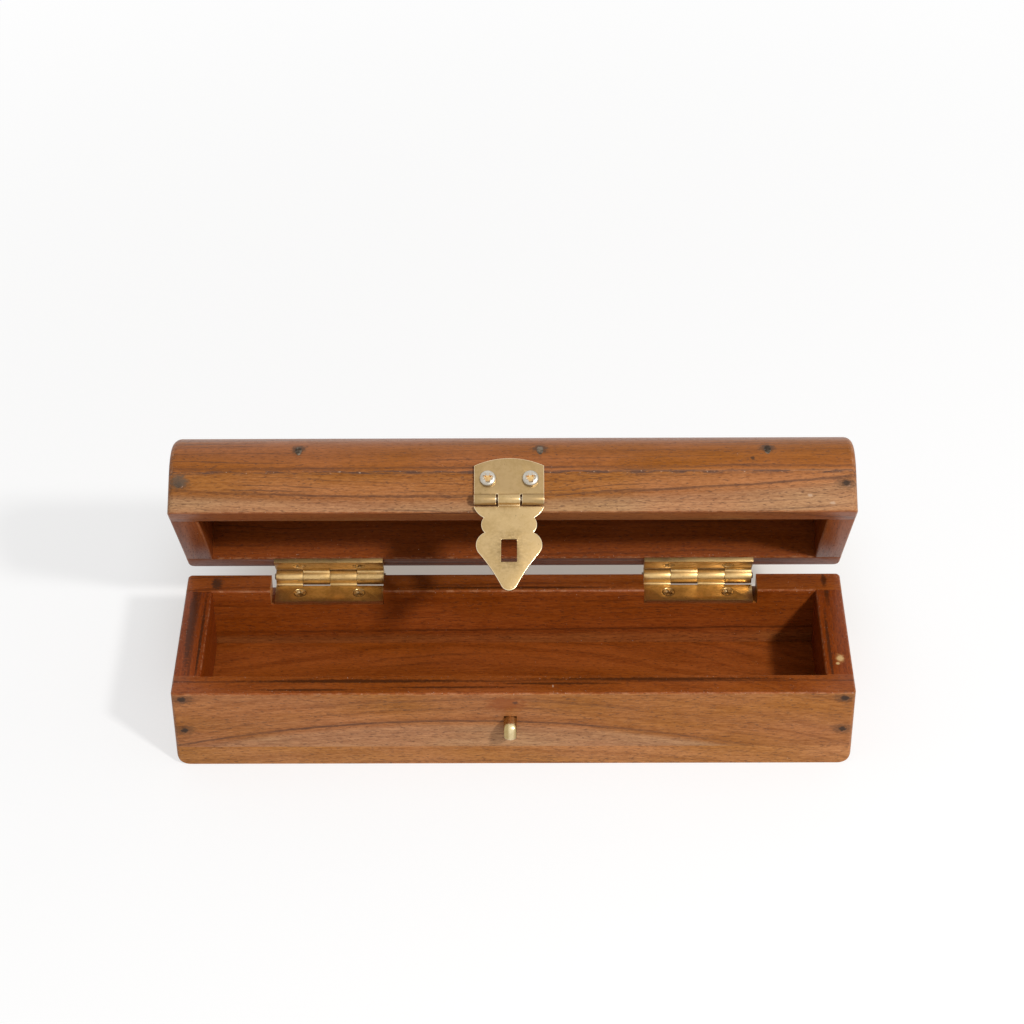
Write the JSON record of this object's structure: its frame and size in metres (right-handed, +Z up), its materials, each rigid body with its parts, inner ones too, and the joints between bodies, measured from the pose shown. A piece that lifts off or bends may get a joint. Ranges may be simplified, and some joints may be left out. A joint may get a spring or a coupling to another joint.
{
  "type": "hinged-lid pencil box",
  "caption": "Long narrow wooden pencil box with a domed lid on two brass butt hinges, and a brass hasp and staple at the front.",
  "frame": {"origin": "centre of the tray's flat underside", "axes": "+X along the length, to the right seen from the front; the front with the hasp faces -Y; +Z up"},
  "size_m": [0.229, 0.0913, 0.0959],
  "materials": {
    "tray_wood": "satin lacquer over reddish-brown hardwood",
    "lid_wood": "satin lacquer over reddish-brown hardwood",
    "nail_iron": "dull darkened iron",
    "hasp_brass": "satin rolled brass",
    "hinge_brass": "brushed brass, lightly tarnished",
    "staple_brass": "polished brass",
    "pin_steel": "dull steel",
    "hasp_screw_metal": "plated steel, worn to yellow in the recess",
    "hinge_screw_brass": "brass, scratched by the driver"
  },
  "bodies": {
    "tray": {"tray_base_board": "tray_wood", "tray_front_board": "tray_wood", "tray_back_board": "tray_wood", "tray_left_end": "tray_wood", "tray_right_end": "tray_wood", "tray_front_nails": "nail_iron", "tray_back_nails": "nail_iron", "tray_base_nails": "nail_iron", "staple": "staple_brass", "left_hinge_tray_leaf": "hinge_brass", "right_hinge_tray_leaf": "hinge_brass", "left_hinge_pin": "pin_steel", "right_hinge_pin": "pin_steel", "tray_leaf_screws": "hinge_screw_brass"},
    "lid": {"lid_top_board": "lid_wood", "lid_front_board": "lid_wood", "lid_back_board": "lid_wood", "lid_left_end": "lid_wood", "lid_right_end": "lid_wood", "lid_front_nails": "nail_iron", "lid_back_nails": "nail_iron", "lid_top_nails": "nail_iron", "left_hinge_lid_leaf": "hinge_brass", "right_hinge_lid_leaf": "hinge_brass", "lid_leaf_screws": "hinge_screw_brass", "hasp_plate": "hasp_brass", "hasp_pin": "pin_steel", "hasp_screws": "hasp_screw_metal"},
    "hasp_flap": {"hasp_flap": "hasp_brass"}
  },
  "joints": [
    {"name": "lid_hinge", "type": "hinge", "parent": "tray", "child": "lid", "pos_m": [0, 0.03415, 0.0287], "axis": [-1, 0, 0], "range_deg": [-55.1, 109]},
    {"name": "flap_hinge", "type": "hinge", "parent": "lid", "child": "hasp_flap", "pos_m": [-0.001, 0.00079, 0.0884], "axis": [-1, 0, 0], "range_deg": [0, 147]}
  ]
}
